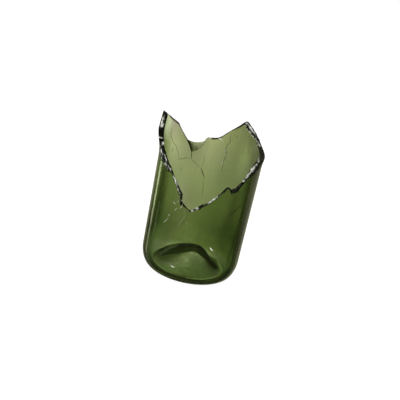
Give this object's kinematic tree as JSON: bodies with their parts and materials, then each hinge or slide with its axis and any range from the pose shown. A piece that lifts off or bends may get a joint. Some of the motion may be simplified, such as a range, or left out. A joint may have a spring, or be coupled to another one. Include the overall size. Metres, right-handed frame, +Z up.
{
  "type": "broken wine bottle base",
  "caption": "Lower part of a green glass wine bottle with a domed punt, broken off along a jagged rim that is high at the back and notched at the front.",
  "frame": {"origin": "middle of the part's box, on the plane that its flat base ring stands on; the bottle's own axis is upright and stands 1.2 mm to +X of it, because the left shard swells outwards", "axes": "+Z up along the bottle's axis; -Y is the front, where the rim dips in its deep notch; -X is the side of the tallest shard"},
  "size_m": [0.0804, 0.076, 0.1165],
  "materials": {
    "olive_glass": "gloss"
  },
  "bodies": {
    "root": {"bottle_base": "olive_glass"}
  },
  "joints": []
}
